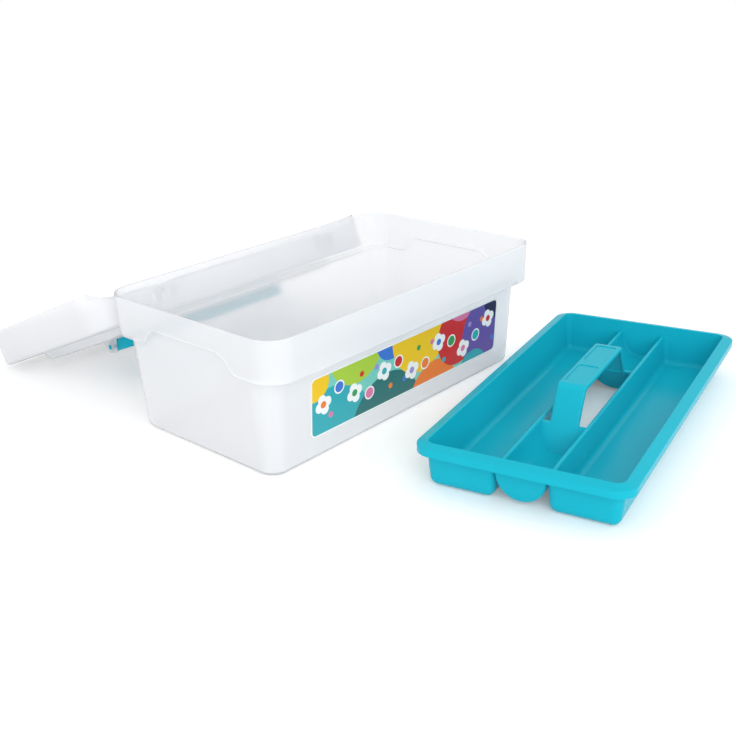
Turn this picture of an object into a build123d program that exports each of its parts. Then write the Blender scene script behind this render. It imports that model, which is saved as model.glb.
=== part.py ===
from build123d import *
import os
from math import cos, radians, sin, tan

# A clear plastic toolbox with a lift-out tray: box, label, hinged lid, folding handle and tray.
# Millimetres. X runs along the box, the label faces -Y, and Z is up from the ground.
# The lid is stored open, hanging behind the box, and the tray stands on the ground in front.

os.makedirs("parts", exist_ok=True)

# Box
rim_length = 320
rim_width = 193
rim_corner = 22
box_height = 113
end_inset = 10         # from the rim's end in to the base's end
side_inset = 18        # from the rim's side in to the base's side
base_corner = 14
base_edge = 5          # rounding where the walls meet the base
wall = 2
wall_draft = 3.7       # degrees that the walls lean out
collar_draft = 2       # degrees that the collar leans out
collar_bottom = 79     # height at which the walls step out to the collar
collar_edge = 1.2      # rounding around the collar's foot
arch_height = 93       # height of the finger arch in the collar of each short end
arch_top = 68          # its width at the top
arch_foot = 116        # its width at the bottom
rim_edge = 0.9

# Lid
lid_wall = 2
lid_gap = 0.5          # between the closed lid and the rim
skirt_depth = 33
skirt_flare = 1.5      # degrees
lid_edge = 4           # rounding along the lid's top
panel_inset = 27       # from the lid's edge to its raised panel
panel_corner = 20
panel_height = 8
panel_draft = 30       # degrees
panel_edge = 3
relief_gap = 0.3       # between the collar and the lid's skirt as it swings past
skirt_spread = 0.2     # how much wider the knuckles' roots sit than the lid's gap
lid_opens = 203        # degrees from shut to resting open

# Hinge of the lid
hinge_out = 8          # from the rim's back to the hinge pins
hinge_drop = 16        # from the rim's top down to the hinge pins
hinge_spacing = 190    # between the two hinges
hinge_pin_r = 2.5
hinge_eye = 6          # radius of the ears on the box
knuckle_r = 5
knuckle_width = 11
ear_thickness = 3
ear_root = 16          # height of an ear where it meets the collar
pin_clearance = 0.06
side_clearance = 0.5
notch_clearance = 1.5

# Handle on the lid
handle_length = 194
handle_reach = 26      # from the handle's pivot to the far side of its grip
grip_width = 12
handle_thickness = 11
arm_width = 9
handle_corner = 12
handle_crook = 4       # rounding inside the handle's corners
handle_edge = 2.5
handle_gap = 0.5       # between the folded handle and the raised panel
handle_pin_r = 2.5
lug_thickness = 4
lug_r = 5.5
lug_foot = 18

# Label on the front wall
label_length = 232.4
label_height = 49.4
label_corner = 5
label_thickness = 0.3
label_middle_x = 4.5
label_middle_z = 43.5
label_gap = 0.05

# Tray
tray_length = 312
tray_width = 158.5
tray_height = 35.5
tray_corner = 15
flange = 8.5           # width of the tray's sloping rim
flange_fall = 2.4      # how much lower the rim's outer edge lies
lip_depth = 5.5
tray_wall = 2
tray_draft = 6         # degrees
floor_edge = 5         # rounding under the troughs
divider_spacing = 37   # between the two dividers
divider_top = 3.2      # width of the dividers' round tops
divider_drop = 9       # from the tray's mouth down to them
pocket_floor = 3       # height of the half round pockets' underside
pocket_edge = 3        # rounding around the pockets' ends
bridge_height = 51.5   # top of the tray's handle
bridge_length = 92     # flat top of the tray's handle
bridge_lean = 28       # degrees that its legs lean
bridge_width = 22
bridge_depth = 4
bridge_plate = 2.2
bridge_bend = 7
bridge_border = 3
bridge_recess = 0.6
bridge_root = 4        # how far the tray's handle reaches down past the dividers
bridge_edge = 1.6      # rounding along the outside of the tray's handle
rim_round = 0.8        # rounding along the edges of the tray's rim
tray_x = 73.4
tray_y = -206
tray_turn = 12.5       # degrees

# Worked out from the sizes above
base_length = rim_length - 2 * end_inset
base_width = rim_width - 2 * side_inset
wall_lean = tan(radians(wall_draft))
collar_lean = tan(radians(collar_draft))
hinge_y = rim_width / 2 + hinge_out
hinge_z = box_height - hinge_drop
lid_top = box_height + lid_gap + lid_wall
lid_length = rim_length + 2 * (lid_gap + lid_wall)
lid_width = rim_width + 2 * (lid_gap + lid_wall)
lid_corner = rim_corner + lid_gap + lid_wall
panel_top = lid_top + panel_height
handle_z = panel_top + handle_gap + handle_thickness / 2
hinge_axis = Axis((0, hinge_y, hinge_z), (1, 0, 0))


def box_form(inset):
    """The box as a closed form, or its hollow when inset by the wall.

    A deep collar with an arch cut into each short end is joined to the leaning walls below it.
    """
    foot = collar_bottom + inset
    shrink = 2 * (box_height - foot) * collar_lean + 2 * inset
    grow = 2 * inset * wall_lean - 2 * inset
    with BuildPart() as form:
        with BuildSketch(Plane.XY.offset(foot)):
            RectangleRounded(rim_length - shrink, rim_width - shrink, rim_corner - shrink / 2)
        extrude(amount=box_height - collar_bottom, taper=-collar_draft)
        with BuildSketch(Plane.YZ):
            with BuildLine():
                half_top = arch_top / 2 + inset
                half_foot = arch_foot / 2 + inset
                top = arch_height + inset
                middle = (half_top + half_foot) / 2
                mid_z = (collar_bottom + top) / 2
                right = Line((half_foot, 0), (half_foot, collar_bottom))
                rise = TangentArc(right @ 1, (middle, mid_z), tangent=(-1, 0))
                bend = TangentArc(rise @ 1, (half_top, top), tangent=rise % 1)
                Polyline(bend @ 1, (-half_top, top))
                fall = TangentArc((-half_top, top), (-middle, mid_z), tangent=(-1, 0))
                sweep_out = TangentArc(fall @ 1, (-half_foot, collar_bottom), tangent=fall % 1)
                Polyline(sweep_out @ 1, (-half_foot, 0), (half_foot, 0))
            make_face()
        extrude(amount=rim_length, both=True, mode=Mode.SUBTRACT)
        feet = form.faces().filter_by(Axis.Z).group_by(Axis.Z)[0].edges().group_by(Axis.Z)[0]
        fillet(feet.filter_by(lambda edge: abs(edge.center().Y) > half_foot + collar_edge), collar_edge)
        with BuildSketch(Plane.XY.offset(inset)):
            RectangleRounded(base_length + grow, base_width + grow, base_corner - inset / 2)
        extrude(amount=box_height, taper=-wall_draft)
        floor_edges = form.faces().sort_by(Axis.Z)[0].edges()
        fillet(floor_edges, base_edge - inset)
    return form.part


# Box: walls that step out to a deep collar, with ears for the lid's hinges
hollow = box_form(wall)

with BuildPart() as box_body:
    add(box_form(0))
    add(hollow, mode=Mode.SUBTRACT)
    rim = box_body.faces().sort_by(Axis.Z)[-1]
    fillet(rim.edges(), rim_edge)
    for station in (-hinge_spacing / 2, hinge_spacing / 2):
        for side in (-1, 1):
            inner = knuckle_width / 2 + side_clearance
            middle = station + side * (inner + ear_thickness / 2)
            with BuildSketch(Plane.YZ.offset(middle)):
                with BuildLine():
                    root_y = rim_width / 2 - hinge_drop * collar_lean - wall / 2
                    Line((root_y, hinge_z - ear_root + hinge_eye), (root_y, hinge_z + hinge_eye))
                    CenterArc((hinge_y, hinge_z), hinge_eye, 0, 360)
                make_hull()
                with Locations((hinge_y, hinge_z)):
                    Circle(hinge_pin_r + pin_clearance, mode=Mode.SUBTRACT)
            extrude(amount=ear_thickness / 2, both=True)
box_body.part.label = "box_body"
export_step(box_body.part, "parts/box_body.step")


# Label: a thin printed sheet on the leaning front wall
label_y = -base_width / 2 - label_middle_z * wall_lean
label_plane = Plane(
    origin=(label_middle_x, label_y, label_middle_z),
    x_dir=(1, 0, 0),
    z_dir=(0, -1, -wall_lean),
)
with BuildPart() as front_label:
    with BuildSketch(label_plane.offset(label_gap)):
        RectangleRounded(label_length, label_height, label_corner)
    extrude(amount=label_thickness)
front_label.part.label = "front_label"
export_step(front_label.part, "parts/front_label.step")


def lid_form(inset):
    """The shut lid as a closed form, or its hollow when inset by the lid's wall."""
    with BuildPart() as form:
        with BuildSketch(Plane.XY.offset(lid_top - inset)):
            RectangleRounded(lid_length - 2 * inset, lid_width - 2 * inset, lid_corner - inset)
        extrude(amount=-skirt_depth, taper=-skirt_flare)
        fillet(form.faces().sort_by(Axis.Z)[-1].edges(), lid_edge - inset)
        with BuildSketch(Plane.XY.offset(lid_top - inset)):
            RectangleRounded(
                lid_length - 2 * panel_inset - 2 * inset,
                lid_width - 2 * panel_inset - 2 * inset,
                panel_corner - inset,
            )
        extrude(amount=panel_height, taper=panel_draft)
        fillet(form.faces().sort_by(Axis.Z)[-1].edges(), panel_edge)
    return form.part


# Lid: drawn shut over the rim, then turned about the hinge pins to its open place
lid_hollow = lid_form(lid_wall)

# What the skirt leaves out below the pins: all that would meet the collar as it turns about them
relief_grow = relief_gap - hinge_drop * collar_lean
relief_half = rim_length / 2 + relief_grow
relief_start = rim_width / 2 - rim_corner
with BuildPart(mode=Mode.PRIVATE) as swing_room:
    with BuildSketch(Plane.XY.offset(hinge_z)):
        with BuildLine():
            relief_r = rim_corner + relief_grow
            left = CenterArc((relief_r - relief_half, relief_start), relief_r, 90, 90)
            right = CenterArc((relief_half - relief_r, relief_start), relief_r, 0, 90)
            Line(left @ 0, right @ 1)
            Polyline(right @ 0, (relief_half, hinge_y), (-relief_half, hinge_y), left @ 1)
        make_face()
    revolve(axis=hinge_axis)
with BuildPart(mode=Mode.PRIVATE) as swing_relief:
    with BuildSketch(Plane.XY.offset(hinge_z)):
        with Locations((0, (relief_start + hinge_y) / 2)):
            Rectangle(2 * relief_half, hinge_y - relief_start)
    extrude(amount=-skirt_depth)
    add(swing_room.part, mode=Mode.SUBTRACT)

with BuildPart() as lid:
    add(lid_form(0))
    add(lid_hollow, mode=Mode.SUBTRACT)
    add(swing_relief.part, mode=Mode.SUBTRACT)
    notch_width = knuckle_width + 2 * (side_clearance + ear_thickness + notch_clearance)
    notch_top = hinge_z + hinge_eye + notch_clearance
    for station in (-hinge_spacing / 2, hinge_spacing / 2):
        with BuildSketch(Plane.XZ.offset(-rim_width / 2)):
            with Locations((station, notch_top)):
                Rectangle(notch_width, skirt_depth, align=(Align.CENTER, Align.MAX))
        extrude(amount=-2 * hinge_out, mode=Mode.SUBTRACT)
        with BuildSketch(Plane.YZ.offset(station)):
            with BuildLine():
                skirt_in = rim_width / 2 + lid_gap + skirt_spread
                Polyline(
                    (skirt_in, hinge_z + knuckle_r),
                    (skirt_in, lid_top - lid_wall),
                    (skirt_in + lid_wall, lid_top - lid_edge / 2),
                )
                CenterArc((hinge_y, hinge_z), knuckle_r, 0, 360)
            make_hull()
        extrude(amount=knuckle_width / 2, both=True)
        with BuildSketch(Plane.YZ.offset(station)):
            with Locations((hinge_y, hinge_z)):
                Circle(hinge_pin_r)
        extrude(amount=knuckle_width / 2 + side_clearance + ear_thickness, both=True)
    for side in (-1, 1):
        lug_x = side * (handle_length / 2 + side_clearance + lug_thickness / 2)
        with BuildSketch(Plane.YZ.offset(lug_x)):
            with BuildLine():
                Line((-lug_foot / 2, panel_top - lid_wall / 2), (lug_foot / 2, panel_top - lid_wall / 2))
                CenterArc((0, handle_z), lug_r, 0, 360)
            make_hull()
            with Locations((0, handle_z)):
                Circle(handle_pin_r + pin_clearance, mode=Mode.SUBTRACT)
        extrude(amount=lug_thickness / 2, both=True)
lid.part = lid.part.rotate(hinge_axis, -lid_opens)
lid.part.label = "lid"
export_step(lid.part, "parts/lid.step")


# Handle: a bail with its own pins, folded back on the lid
with BuildPart() as lid_handle:
    with BuildSketch(Plane.XY.offset(handle_z - handle_thickness / 2)) as plan:
        with Locations((0, handle_reach / 2)):
            Rectangle(handle_length, handle_reach)
        with Locations((0, (handle_reach - grip_width) / 2)):
            Rectangle(handle_length - 2 * arm_width, handle_reach - grip_width, mode=Mode.SUBTRACT)
        fillet(plan.vertices().group_by(Axis.Y)[1], handle_crook)
        fillet(plan.vertices().group_by(Axis.Y)[-1], handle_corner)
    extrude(amount=handle_thickness)
    flat_edges = lid_handle.edges().group_by(Axis.Z)[0] + lid_handle.edges().group_by(Axis.Z)[-1]
    fillet(flat_edges.filter_by(lambda edge: edge.center().Y > handle_edge / 2), handle_edge)
    for side in (-1, 1):
        with BuildSketch(Plane.YZ.offset(side * (handle_length - arm_width) / 2)):
            with Locations((0, handle_z)):
                Circle(handle_thickness / 2)
        extrude(amount=arm_width / 2, both=True)
        pin_length = side_clearance + lug_thickness
        with BuildSketch(Plane.YZ.offset(side * (handle_length + pin_length - arm_width) / 2)):
            with Locations((0, handle_z)):
                Circle(handle_pin_r)
        extrude(amount=(pin_length + arm_width) / 2, both=True)
lid_handle.part = lid_handle.part.rotate(hinge_axis, -lid_opens)
lid_handle.part.label = "lid_handle"
export_step(lid_handle.part, "parts/lid_handle.step")


# Tray: drawn at the origin, then set on the ground
tray_lean = tan(radians(tray_draft))
bridge_slope = tan(radians(bridge_lean))
edge_z = tray_height - flange_fall
ridge_r = divider_top / 2
ridge_z = tray_height - divider_drop - ridge_r
ridge_lean = (tray_height - ridge_z) * tray_lean
trough_in = divider_spacing / 2 + ridge_r - ridge_lean
trough_out = tray_width / 2 - flange
trough_half = tray_length / 2 - flange
trough_corner = tray_corner - flange
channel = divider_spacing / 2 - ridge_r + ridge_lean


def rim_form(bottom):
    """The tray's outside above a height: an upright lip, then a rim that slopes up to the mouth."""
    with BuildPart() as form:
        with BuildSketch(Plane.XY.offset(bottom)):
            RectangleRounded(tray_length, tray_width, tray_corner)
        extrude(amount=edge_z - bottom)
        with BuildSketch(Plane.XY.offset(edge_z)):
            RectangleRounded(tray_length, tray_width, tray_corner)
        with BuildSketch(Plane.XY.offset(tray_height)):
            RectangleRounded(2 * trough_half, 2 * trough_out, trough_corner)
        loft(ruled=True)
    return form.part


def mouth_form(inset):
    """The room above the dividers as a closed form, or its hollow when inset by the wall."""
    spread = tray_wall - inset
    with BuildPart() as form:
        with BuildSketch(Plane.XY.offset(tray_height)):
            RectangleRounded(2 * (trough_half + spread), 2 * (trough_out + spread), trough_corner + spread)
        extrude(amount=ridge_z - spread - tray_height, taper=tray_draft)
    return form.part


def trough_form(inset):
    """A flat bottomed side trough as a closed form, or its hollow when inset by the wall."""
    spread = tray_wall - inset
    with BuildPart() as form:
        with BuildSketch(Plane.XY.offset(tray_height)):
            with Locations((0, (trough_in + trough_out) / 2)):
                RectangleRounded(
                    2 * (trough_half + spread), trough_out - trough_in + 2 * spread, trough_corner + spread
                )
        extrude(amount=inset - tray_height, taper=tray_draft)
        fillet(form.faces().sort_by(Axis.Z)[0].edges(), floor_edge + spread)
    return form.part


def leg_x(z, shift):
    """Where the slope of a handle leg stands at height z, moved inwards by shift."""
    return bridge_length / 2 + (bridge_height - z) * bridge_slope - shift / cos(radians(bridge_lean))


def pocket_form(inset):
    """A half round end pocket as a closed form, or its hollow when inset by the wall."""
    spread = tray_wall - inset
    half_top = channel + spread
    lean = radians(tray_draft)
    bottom = pocket_floor + inset
    round_r = (half_top - (tray_height - bottom) * tray_lean) / (cos(lean) - (1 - sin(lean)) * tray_lean)
    side_y = round_r * cos(lean)
    side_z = bottom + round_r * (1 - sin(lean))
    end_x = trough_half + spread
    with BuildPart() as form:
        with BuildSketch(Plane.YZ):
            with BuildLine():
                ThreePointArc((-side_y, side_z), (0, bottom), (side_y, side_z))
                Polyline(
                    (side_y, side_z),
                    (half_top, tray_height),
                    (-half_top, tray_height),
                    (-side_y, side_z),
                )
            make_face()
        extrude(amount=tray_length / 2)
        with BuildSketch(Plane.XZ):
            with BuildLine():
                Polyline(
                    (leg_x(0, spread), 0),
                    (end_x - tray_height * tray_lean, 0),
                    (end_x, tray_height),
                    (leg_x(tray_height, spread), tray_height),
                    close=True,
                )
            make_face()
        extrude(amount=tray_width / 2, both=True, mode=Mode.INTERSECT)
        end_lines = form.faces().sort_by(Axis.X)[-1].edges()
        fillet(end_lines.filter_by(lambda line: line.center().Z < tray_height - tray_wall), pocket_edge - inset)
    return form.part


def bridge_form(width, shift, bend, edge=0):
    """A bridge with leaning legs, moved inwards by shift from the handle's outside."""
    foot_z = ridge_z - bridge_root
    top_z = bridge_height - shift
    with BuildPart() as form:
        with BuildSketch(Plane.XZ):
            with BuildLine() as side_view:
                Polyline(
                    (-leg_x(foot_z, shift), foot_z),
                    (-leg_x(top_z, shift), top_z),
                    (leg_x(top_z, shift), top_z),
                    (leg_x(foot_z, shift), foot_z),
                    close=True,
                )
            make_face()
            fillet(side_view.vertices().group_by(Axis.Y)[-1], bend)
        extrude(amount=width / 2, both=True)
        if edge:
            sides = form.faces().filter_by(Axis.Y).edges()
            fillet(sides.filter_by(lambda line: line.center().Z > foot_z + edge), edge)
    return form.part


trough = trough_form(0)
trough_hollow = trough_form(tray_wall)
pocket = pocket_form(0)
pocket_hollow = pocket_form(tray_wall)
bridge = bridge_form(bridge_width, 0, bridge_bend, bridge_edge)
bridge_opening = bridge_form(tray_width, bridge_depth, bridge_bend - bridge_plate)
bridge_groove = bridge_form(bridge_width - 2 * tray_wall, bridge_plate, bridge_bend - bridge_plate)

with BuildPart(mode=Mode.PRIVATE) as strap:
    add(bridge)
    add(bridge_opening, mode=Mode.SUBTRACT)
    add(bridge_groove, mode=Mode.SUBTRACT)
    with BuildSketch(Plane.XY.offset(bridge_height)):
        panel_span = (bridge_length - 3 * bridge_border) / 2
        with GridLocations(panel_span + bridge_border, 0, 2, 1):
            RectangleRounded(panel_span - 2 * bridge_border, bridge_width - 2 * bridge_border, bridge_border)
    extrude(amount=-bridge_recess, mode=Mode.SUBTRACT)

with BuildPart(mode=Mode.PRIVATE) as under_rim:
    with BuildSketch():
        RectangleRounded(tray_length - 2 * tray_wall, tray_width - 2 * tray_wall, tray_corner - tray_wall)
    extrude(amount=tray_height)
    add(rim_form(0).moved(Location((0, 0, -tray_wall))), mode=Mode.INTERSECT)

with BuildPart(mode=Mode.PRIVATE) as rim_ring:
    add(rim_form(edge_z - lip_depth))
    add(under_rim.part, mode=Mode.SUBTRACT)

with BuildPart() as tray:
    add(mouth_form(0))
    add(trough)
    add(trough.mirror(Plane.XZ))
    add(pocket)
    add(pocket.mirror(Plane.YZ))
    add(rim_form(0), mode=Mode.INTERSECT)
    add(rim_ring.part)
    add(mouth_form(tray_wall), mode=Mode.SUBTRACT)
    with BuildSketch(Plane.XY.offset(ridge_z)):
        Rectangle(2 * leg_x(ridge_z, tray_wall), divider_spacing - divider_top)
    extrude(amount=-tray_wall, mode=Mode.SUBTRACT)
    with BuildSketch(Plane.YZ):
        with Locations((-divider_spacing / 2, ridge_z), (divider_spacing / 2, ridge_z)):
            Circle(ridge_r)
    extrude(amount=trough_half, both=True)
    add(strap.part)
    add(trough_hollow, mode=Mode.SUBTRACT)
    add(trough_hollow.mirror(Plane.XZ), mode=Mode.SUBTRACT)
    add(pocket_hollow, mode=Mode.SUBTRACT)
    add(pocket_hollow.mirror(Plane.YZ), mode=Mode.SUBTRACT)
    for height in (edge_z, tray_height):
        fillet(tray.edges().filter_by_position(Axis.Z, height - rim_round, height + rim_round), rim_round)
tray_plane = Plane(
    origin=(tray_x, tray_y, 0),
    x_dir=(cos(radians(tray_turn)), sin(radians(tray_turn)), 0),
)
tray.part = tray.part.moved(tray_plane.location)
tray.part.label = "tray"
export_step(tray.part, "parts/tray.step")
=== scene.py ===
import math

import bpy
import numpy as np
from mathutils import Matrix

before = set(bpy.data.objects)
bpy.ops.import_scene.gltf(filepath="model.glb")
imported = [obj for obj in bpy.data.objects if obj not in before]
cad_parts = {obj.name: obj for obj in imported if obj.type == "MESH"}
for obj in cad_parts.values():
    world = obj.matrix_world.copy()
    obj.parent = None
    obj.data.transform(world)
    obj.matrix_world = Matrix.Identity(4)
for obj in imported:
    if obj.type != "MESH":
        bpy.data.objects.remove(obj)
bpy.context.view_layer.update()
print("frame loaded:", len(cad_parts), "nodes")

scene = bpy.context.scene
scene.view_settings.view_transform = "Standard"


# Small helpers for node trees

def newMaterial(name):
    material = bpy.data.materials.new(name)
    material.use_nodes = True
    tree = material.node_tree
    tree.nodes.clear()
    return material, tree, tree.nodes.new("ShaderNodeOutputMaterial")


def newGroup(name, inputs, outputs):
    group = bpy.data.node_groups.new(name, "ShaderNodeTree")
    for label, kind in inputs.items():
        group.interface.new_socket(label, in_out="INPUT", socket_type="NodeSocket" + kind)
    for label in outputs:
        group.interface.new_socket(label, in_out="OUTPUT", socket_type="NodeSocketFloat")
    return group, group.nodes.new("NodeGroupInput"), group.nodes.new("NodeGroupOutput")


def placeGroup(tree, group, links, **values):
    node = tree.nodes.new("ShaderNodeGroup")
    node.node_tree = group
    for label, value in values.items():
        node.inputs[label].default_value = value
    for label, socket in links.items():
        tree.links.new(socket, node.inputs[label])
    return node


def mathNode(tree, operation, *values):
    node = tree.nodes.new("ShaderNodeMath")
    node.operation = operation
    for socket, value in zip(node.inputs, values):
        if isinstance(value, (int, float)):
            socket.default_value = value
        else:
            tree.links.new(value, socket)
    return node.outputs[0]


def mixColour(tree, factor, first, second):
    # a Mix node's colours come in at sockets 6 and 7 and leave at 2
    node = tree.nodes.new("ShaderNodeMix")
    node.data_type = "RGBA"
    for index, value in ((0, factor), (6, first), (7, second)):
        if isinstance(value, tuple):
            node.inputs[index].default_value = value
        else:
            tree.links.new(value, node.inputs[index])
    return node.outputs[2]


# Moulded skin: cloudy sheen in the roughness, and a faint orange-peel height

skinNoise = {
    "cloudDetail": 3,
    "peelDetail": 2,
    "cloudLow": 0.3,    # the noise's useful range, spread from smooth to rough
    "cloudHigh": 0.7,
}


def makeMouldedSkin():
    group, start, end = newGroup(
        "mouldedSkin",
        {"Position": "Vector", "Cloud": "Float", "Peel": "Float", "Smooth": "Float",
         "Rough": "Float"},
        ["Clouds", "Roughness", "Height"],
    )
    clouds, peel = (group.nodes.new("ShaderNodeTexNoise") for _ in range(2))
    for noise, scale, detail in ((clouds, "Cloud", "cloudDetail"), (peel, "Peel", "peelDetail")):
        noise.inputs["Detail"].default_value = skinNoise[detail]
        group.links.new(start.outputs["Position"], noise.inputs["Vector"])
        group.links.new(start.outputs[scale], noise.inputs["Scale"])
    spread = group.nodes.new("ShaderNodeMapRange")
    spread.inputs["From Min"].default_value = skinNoise["cloudLow"]
    spread.inputs["From Max"].default_value = skinNoise["cloudHigh"]
    group.links.new(clouds.outputs["Fac"], spread.inputs["Value"])
    group.links.new(start.outputs["Smooth"], spread.inputs["To Min"])
    group.links.new(start.outputs["Rough"], spread.inputs["To Max"])
    group.links.new(clouds.outputs["Fac"], end.inputs["Clouds"])
    group.links.new(spread.outputs["Result"], end.inputs["Roughness"])
    group.links.new(peel.outputs["Fac"], end.inputs["Height"])
    return group


mouldedSkin = makeMouldedSkin()


def placeSkin(tree, look):
    place = tree.nodes.new("ShaderNodeTexCoord")
    return placeGroup(tree, mouldedSkin, {"Position": place.outputs["Object"]},
                      Cloud=look["cloud"], Peel=look["peel"],
                      Smooth=look["smooth"], Rough=look["rough"])


def makeSkinShader(tree, skin, colour, look):
    shader = tree.nodes.new("ShaderNodeBsdfPrincipled")
    shader.inputs["IOR"].default_value = look["ior"]
    bump = tree.nodes.new("ShaderNodeBump")
    bump.inputs["Strength"].default_value = look["bump"]
    bump.inputs["Distance"].default_value = look["bumpDepth"]
    tree.links.new(colour, shader.inputs["Base Color"])
    tree.links.new(skin.outputs["Roughness"], shader.inputs["Roughness"])
    tree.links.new(skin.outputs["Height"], bump.inputs["Height"])
    tree.links.new(bump.outputs["Normal"], shader.inputs["Normal"])
    return shader


# Clear box and lid: milky plastic that lets a blurred view through

milkyPlastic = {
    "colour": (0.905, 0.92, 0.945, 1),
    "thinColour": (0.945, 0.955, 0.975, 1),
    "cloud": 7.0,
    "peel": 300.0,
    "smooth": 0.17,
    "rough": 0.26,
    "transmission": 0.44,
    "ior": 1.16,
    "bump": 0.02,
    "bumpDepth": 0.0004,
}
# the lid is a little greyer than the box
lidPlastic = {
    **milkyPlastic,
    "colour": (0.845, 0.860, 0.890, 1),
    "thinColour": (0.885, 0.895, 0.920, 1),
}


def makeMilkyPlastic(name, look):
    material, tree, output = newMaterial(name)
    skin = placeSkin(tree, look)
    colour = mixColour(tree, skin.outputs["Clouds"], look["colour"], look["thinColour"])
    entering = makeSkinShader(tree, skin, colour, look)
    entering.inputs["Transmission Weight"].default_value = look["transmission"]
    # a ray inside the wall leaves it freely, so that one wall is milky once and not twice
    leaving = tree.nodes.new("ShaderNodeBsdfPrincipled")
    leaving.inputs["Base Color"].default_value = (1, 1, 1, 1)
    leaving.inputs["Transmission Weight"].default_value = 1
    leaving.inputs["IOR"].default_value = look["ior"]
    tree.links.new(skin.outputs["Roughness"], leaving.inputs["Roughness"])
    sides = tree.nodes.new("ShaderNodeNewGeometry")
    wall = tree.nodes.new("ShaderNodeMixShader")
    tree.links.new(sides.outputs["Backfacing"], wall.inputs[0])
    tree.links.new(entering.outputs["BSDF"], wall.inputs[1])
    tree.links.new(leaving.outputs["BSDF"], wall.inputs[2])
    tree.links.new(wall.outputs[0], output.inputs["Surface"])
    return material


# Tray and handle: solid turquoise plastic

turquoisePlastic = {
    "colour": (0.006, 0.428, 0.556, 1),
    "paleColour": (0.011, 0.488, 0.625, 1),
    "cloud": 11.0,
    "peel": 500.0,
    "smooth": 0.19,
    "rough": 0.265,
    "ior": 1.49,
    "gloss": 0.10,
    "bump": 0.05,
    "bumpDepth": 0.0004,
}


def makeTurquoisePlastic():
    look = turquoisePlastic
    material, tree, output = newMaterial("turquoisePlastic")
    skin = placeSkin(tree, look)
    colour = mixColour(tree, skin.outputs["Clouds"], look["colour"], look["paleColour"])
    shader = makeSkinShader(tree, skin, colour, look)
    shader.inputs["Specular IOR Level"].default_value = look["gloss"]
    tree.links.new(shader.outputs["BSDF"], output.inputs["Surface"])
    return material


# Label: a plain bright pattern on a printed sheet, in millimetres from the sheet's middle

labelPrint = {
    "middle": (4.5, 0.0, 43.5),     # the sheet's middle in the box's own frame
    "stretch": 1.002,               # the sheet leans with the wall
    "printed": (115.0, 0.0, 23.5),  # half the printed field, inside a white margin
    "corner": 4.0,
    "softEdge": 0.12,               # half the width of a patch's edge
    "cloud": 14.0,
    "peel": 700.0,
    "smooth": 0.29,
    "rough": 0.36,
    "ior": 1.45,
    "bump": 0.03,
    "bumpDepth": 0.0003,
}

inks = {
    "mint": (0.18, 0.58, 0.50, 1),
    "aqua": (0.02, 0.38, 0.44, 1),
    "deepTeal": (0.01, 0.15, 0.15, 1),
    "yellow": (0.88, 0.56, 0.01, 1),
    "lime": (0.40, 0.60, 0.05, 1),
    "green": (0.03, 0.32, 0.08, 1),
    "orange": (0.86, 0.20, 0.02, 1),
    "red": (0.60, 0.02, 0.02, 1),
    "violet": (0.13, 0.08, 0.36, 1),
    "lilac": (0.34, 0.26, 0.62, 1),
    "night": (0.02, 0.01, 0.06, 1),
    "blue": (0.05, 0.18, 0.62, 1),
    "pink": (0.70, 0.18, 0.36, 1),
    "white": (0.88, 0.90, 0.90, 1),
}

# large round fields that overlap: across, up, radius, ink
roundFields = (
    (-94, -34, 46, "aqua"), (-112, 20, 15, "yellow"), (-66, 36, 31, "lime"),
    (-30, -40, 42, "deepTeal"), (-26, 30, 18, "blue"), (12, 26, 37, "yellow"),
    (30, -38, 31, "orange"), (62, 8, 29, "red"), (66, 40, 22, "pink"),
    (104, -2, 37, "violet"), (84, -36, 21, "aqua"), (116, 26, 19, "night"),
)

# a wave of plain flowers and rimmed dots by turns, each with a small bead above or below
flowerWave = {
    "stations": 13,
    "start": -103,
    "spacing": 17.2,
    "height": 9,
    "step": 1.7,          # radians of the wave from one station to the next
    "petals": 4,
    "petalRadius": 4.2,
    "petalReach": 4.4,
    "petalTurn": 20,      # degrees
    "eyeRadius": 2.9,
    "rimRadius": 5.6,
    "dotRadius": 4.4,
    "beadRadius": 2.4,
    "beadAcross": 8,
    "beadUp": 11,
    "accents": ("orange", "blue", "green", "pink", "aqua", "red", "lilac"),
    "beadShift": 3,       # a bead's ink is this many accents after its station's own
}


def makePatchMask():
    group, start, end = newGroup(
        "patchMask",
        {"Place": "Vector", "Middle": "Vector", "Half": "Vector", "Round": "Float"},
        ["Mask"],
    )
    away = group.nodes.new("ShaderNodeVectorMath")
    away.operation = "SUBTRACT"
    group.links.new(start.outputs["Place"], away.inputs[0])
    group.links.new(start.outputs["Middle"], away.inputs[1])
    offset, half = (group.nodes.new("ShaderNodeSeparateXYZ") for _ in range(2))
    group.links.new(away.outputs[0], offset.inputs[0])
    group.links.new(start.outputs["Half"], half.inputs[0])
    # distance to a rounded block: past = |offset| - half + round on each axis,
    # then the length of what is outside plus the depth of what is inside, minus round
    past = []
    for axis in ("X", "Z"):
        size = mathNode(group, "ABSOLUTE", offset.outputs[axis])
        beyond = mathNode(group, "SUBTRACT", size, half.outputs[axis])
        past.append(mathNode(group, "ADD", beyond, start.outputs["Round"]))
    outer = [mathNode(group, "MAXIMUM", value, 0.0) for value in past]
    squares = [mathNode(group, "MULTIPLY", value, value) for value in outer]
    outside = mathNode(group, "SQRT", mathNode(group, "ADD", *squares))
    inside = mathNode(group, "MINIMUM", mathNode(group, "MAXIMUM", *past), 0.0)
    distance = mathNode(group, "SUBTRACT", mathNode(group, "ADD", outside, inside),
                        start.outputs["Round"])
    edge = group.nodes.new("ShaderNodeMapRange")
    edge.interpolation_type = "SMOOTHSTEP"
    edge.inputs["From Min"].default_value = -labelPrint["softEdge"]
    edge.inputs["From Max"].default_value = labelPrint["softEdge"]
    edge.inputs["To Min"].default_value = 1
    edge.inputs["To Max"].default_value = 0
    group.links.new(distance, edge.inputs["Value"])
    group.links.new(edge.outputs["Result"], end.inputs["Mask"])
    return group


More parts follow.
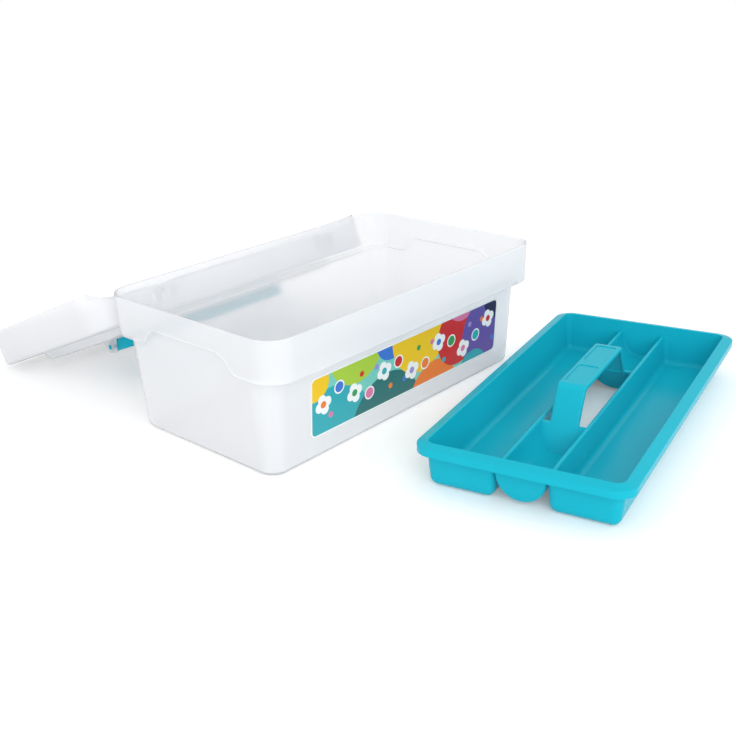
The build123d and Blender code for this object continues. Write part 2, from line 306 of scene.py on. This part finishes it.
patchMask = makePatchMask()


def makeLabelRounds():
    rounds = list(roundFields)
    wave = flowerWave
    accents = wave["accents"]
    for index in range(wave["stations"]):
        across = wave["start"] + wave["spacing"] * index
        up = wave["height"] * math.sin(wave["step"] * index)
        accent = accents[index % len(accents)]
        if index % 2:
            rounds.append((across, up, wave["rimRadius"], "white"))
            rounds.append((across, up, wave["dotRadius"], accent))
        else:
            for petal in range(wave["petals"]):
                turn = math.radians(wave["petalTurn"] + 360 / wave["petals"] * petal)
                rounds.append((across + wave["petalReach"] * math.cos(turn),
                               up + wave["petalReach"] * math.sin(turn),
                               wave["petalRadius"], "white"))
            rounds.append((across, up, wave["eyeRadius"], accent))
        rounds.append((across + wave["beadAcross"], wave["beadUp"] if up < 0 else -wave["beadUp"],
                       wave["beadRadius"], accents[(index + wave["beadShift"]) % len(accents)]))
    return rounds


def makeLabelPrint():
    look = labelPrint
    material, tree, output = newMaterial("labelPrint")
    place = tree.nodes.new("ShaderNodeTexCoord")
    mapping = tree.nodes.new("ShaderNodeMapping")
    perMetre = 1000   # millimetres in a metre
    mapping.inputs["Scale"].default_value = (perMetre, perMetre, perMetre * look["stretch"])
    mapping.inputs["Location"].default_value = [-value for value in look["middle"]]
    tree.links.new(place.outputs["Object"], mapping.inputs["Vector"])
    links = {"Place": mapping.outputs["Vector"]}
    colour = inks["mint"]
    for across, up, radius, ink in makeLabelRounds():
        mask = placeGroup(tree, patchMask, links, Middle=(across, 0, up),
                          Half=(radius, 0, radius), Round=radius)
        colour = mixColour(tree, mask.outputs["Mask"], colour, inks[ink])
    field = placeGroup(tree, patchMask, links, Middle=(0, 0, 0),
                       Half=look["printed"], Round=look["corner"])
    colour = mixColour(tree, field.outputs["Mask"], inks["white"], colour)
    shader = makeSkinShader(tree, placeSkin(tree, look), colour, look)
    tree.links.new(shader.outputs["BSDF"], output.inputs["Surface"])
    return material


finishes = {
    "box_body": makeMilkyPlastic("milkyPlastic", milkyPlastic),
    "lid": makeMilkyPlastic("milkyLidPlastic", lidPlastic),
    "front_label": makeLabelPrint(),
    "tray": makeTurquoisePlastic(),
}
finishes["lid_handle"] = finishes["tray"]
for name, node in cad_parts.items():
    node.data.materials.clear()
    node.data.materials.append(finishes[name])
print("finishes set on", len(finishes), "pieces")


# Floor: pale, and white where the camera, a gloss or a see-through wall looks at it

floorLook = {
    "size": 5.0,
    "below": 0.0003,
    "colour": (0.97, 0.97, 0.97, 1),
    "glow": 0.16,
}


def makeFloor():
    half = floorLook["size"] / 2
    corners = [(-half, -half, 0), (half, -half, 0), (half, half, 0), (-half, half, 0)]
    mesh = bpy.data.meshes.new("floor")
    mesh.from_pydata(corners, [], [(0, 1, 2, 3)])
    floor = bpy.data.objects.new("floor", mesh)
    scene.collection.objects.link(floor)
    floor.location = (0, 0, -floorLook["below"])
    material, tree, output = newMaterial("floorPaper")
    path = tree.nodes.new("ShaderNodeLightPath").outputs
    diffuse = tree.nodes.new("ShaderNodeBsdfDiffuse")
    diffuse.inputs["Color"].default_value = floorLook["colour"]
    glow = tree.nodes.new("ShaderNodeEmission")
    through = mathNode(tree, "MAXIMUM", path["Is Glossy Ray"], path["Is Transmission Ray"])
    seen = mathNode(tree, "MAXIMUM", path["Is Camera Ray"], through)
    strength = mathNode(tree, "MULTIPLY", seen, floorLook["glow"])
    tree.links.new(strength, glow.inputs["Strength"])
    both = tree.nodes.new("ShaderNodeAddShader")
    tree.links.new(diffuse.outputs[0], both.inputs[0])
    tree.links.new(glow.outputs[0], both.inputs[1])
    tree.links.new(both.outputs[0], output.inputs["Surface"])
    mesh.materials.append(material)


makeFloor()


# Light: a soft white room, a weak wide lamp above and a stronger one from the camera's side

studio = {
    "room": 0.86,
    "lamps": {
        "keyLamp": {
            "place": (0.5, -0.9, 1.7), "target": (0.05, -0.05, 0.05), "size": 1.4, "power": 1.5,
        },
        "fillLamp": {
            "place": (-0.9, -1.3, 0.75), "target": (0.0, -0.1, 0.05), "size": 1.2, "power": 11.0,
        },
    },
}


def makeRoom():
    world = bpy.data.worlds.new("room")
    scene.world = world
    world.use_nodes = True
    tree = world.node_tree
    tree.nodes.clear()
    output = tree.nodes.new("ShaderNodeOutputWorld")
    path = tree.nodes.new("ShaderNodeLightPath").outputs
    air = tree.nodes.new("ShaderNodeBackground")
    air.inputs["Color"].default_value = (1, 1, 1, 1)
    # white where the camera looks at it, straight or through a clear wall
    seen = mathNode(tree, "MAXIMUM", path["Is Camera Ray"], path["Is Transmission Ray"])
    extra = mathNode(tree, "MULTIPLY", seen, 1 - studio["room"])
    tree.links.new(mathNode(tree, "ADD", studio["room"], extra), air.inputs["Strength"])
    tree.links.new(air.outputs[0], output.inputs["Surface"])


def standAt(holder, right, up, back, place):
    rows = [[*row, at] for row, at in zip(np.c_[right, up, back], place)]
    holder.matrix_world = Matrix(rows + [[0, 0, 0, 1]])


def makeLamp(name, look):
    lamp = bpy.data.lights.new(name, "AREA")
    lamp.shape = "SQUARE"
    lamp.size = look["size"]
    lamp.energy = look["power"]
    holder = bpy.data.objects.new(name, lamp)
    scene.collection.objects.link(holder)
    back = np.array(look["place"], float) - np.array(look["target"], float)
    back /= np.linalg.norm(back)
    right = np.cross((0, 1, 0), back)
    right /= np.linalg.norm(right)
    standAt(holder, right, np.cross(back, right), back, look["place"])


makeRoom()
for name, look in studio["lamps"].items():
    makeLamp(name, look)
print("light and floor made")


# Camera: where the photograph was taken from

viewpoint = {
    "place": (-0.5927, -0.5844, 0.3639),
    "heading": 47.28,   # degrees from +Y towards +X
    "down": 22.53,
    "roll": -2.03,
    "focal": 1.41087,   # focal length as a share of the picture's width
    "sensor": 36,       # millimetres
    "nearest": 0.01,
}


def makeCamera():
    heading, down, roll = (math.radians(viewpoint[key]) for key in ("heading", "down", "roll"))
    forward = np.array([math.sin(heading) * math.cos(down), math.cos(heading) * math.cos(down),
                        -math.sin(down)])
    level = np.array([math.cos(heading), -math.sin(heading), 0])
    up = np.cross(level, forward)
    right = math.cos(roll) * level + math.sin(roll) * up
    top = -math.sin(roll) * level + math.cos(roll) * up
    lens = bpy.data.cameras.new("camera")
    lens.sensor_width = viewpoint["sensor"]
    lens.lens = viewpoint["sensor"] * viewpoint["focal"]
    lens.clip_start = viewpoint["nearest"]
    camera = bpy.data.objects.new("camera", lens)
    scene.collection.objects.link(camera)
    standAt(camera, right, top, -forward, viewpoint["place"])
    scene.camera = camera


makeCamera()
print("camera set")
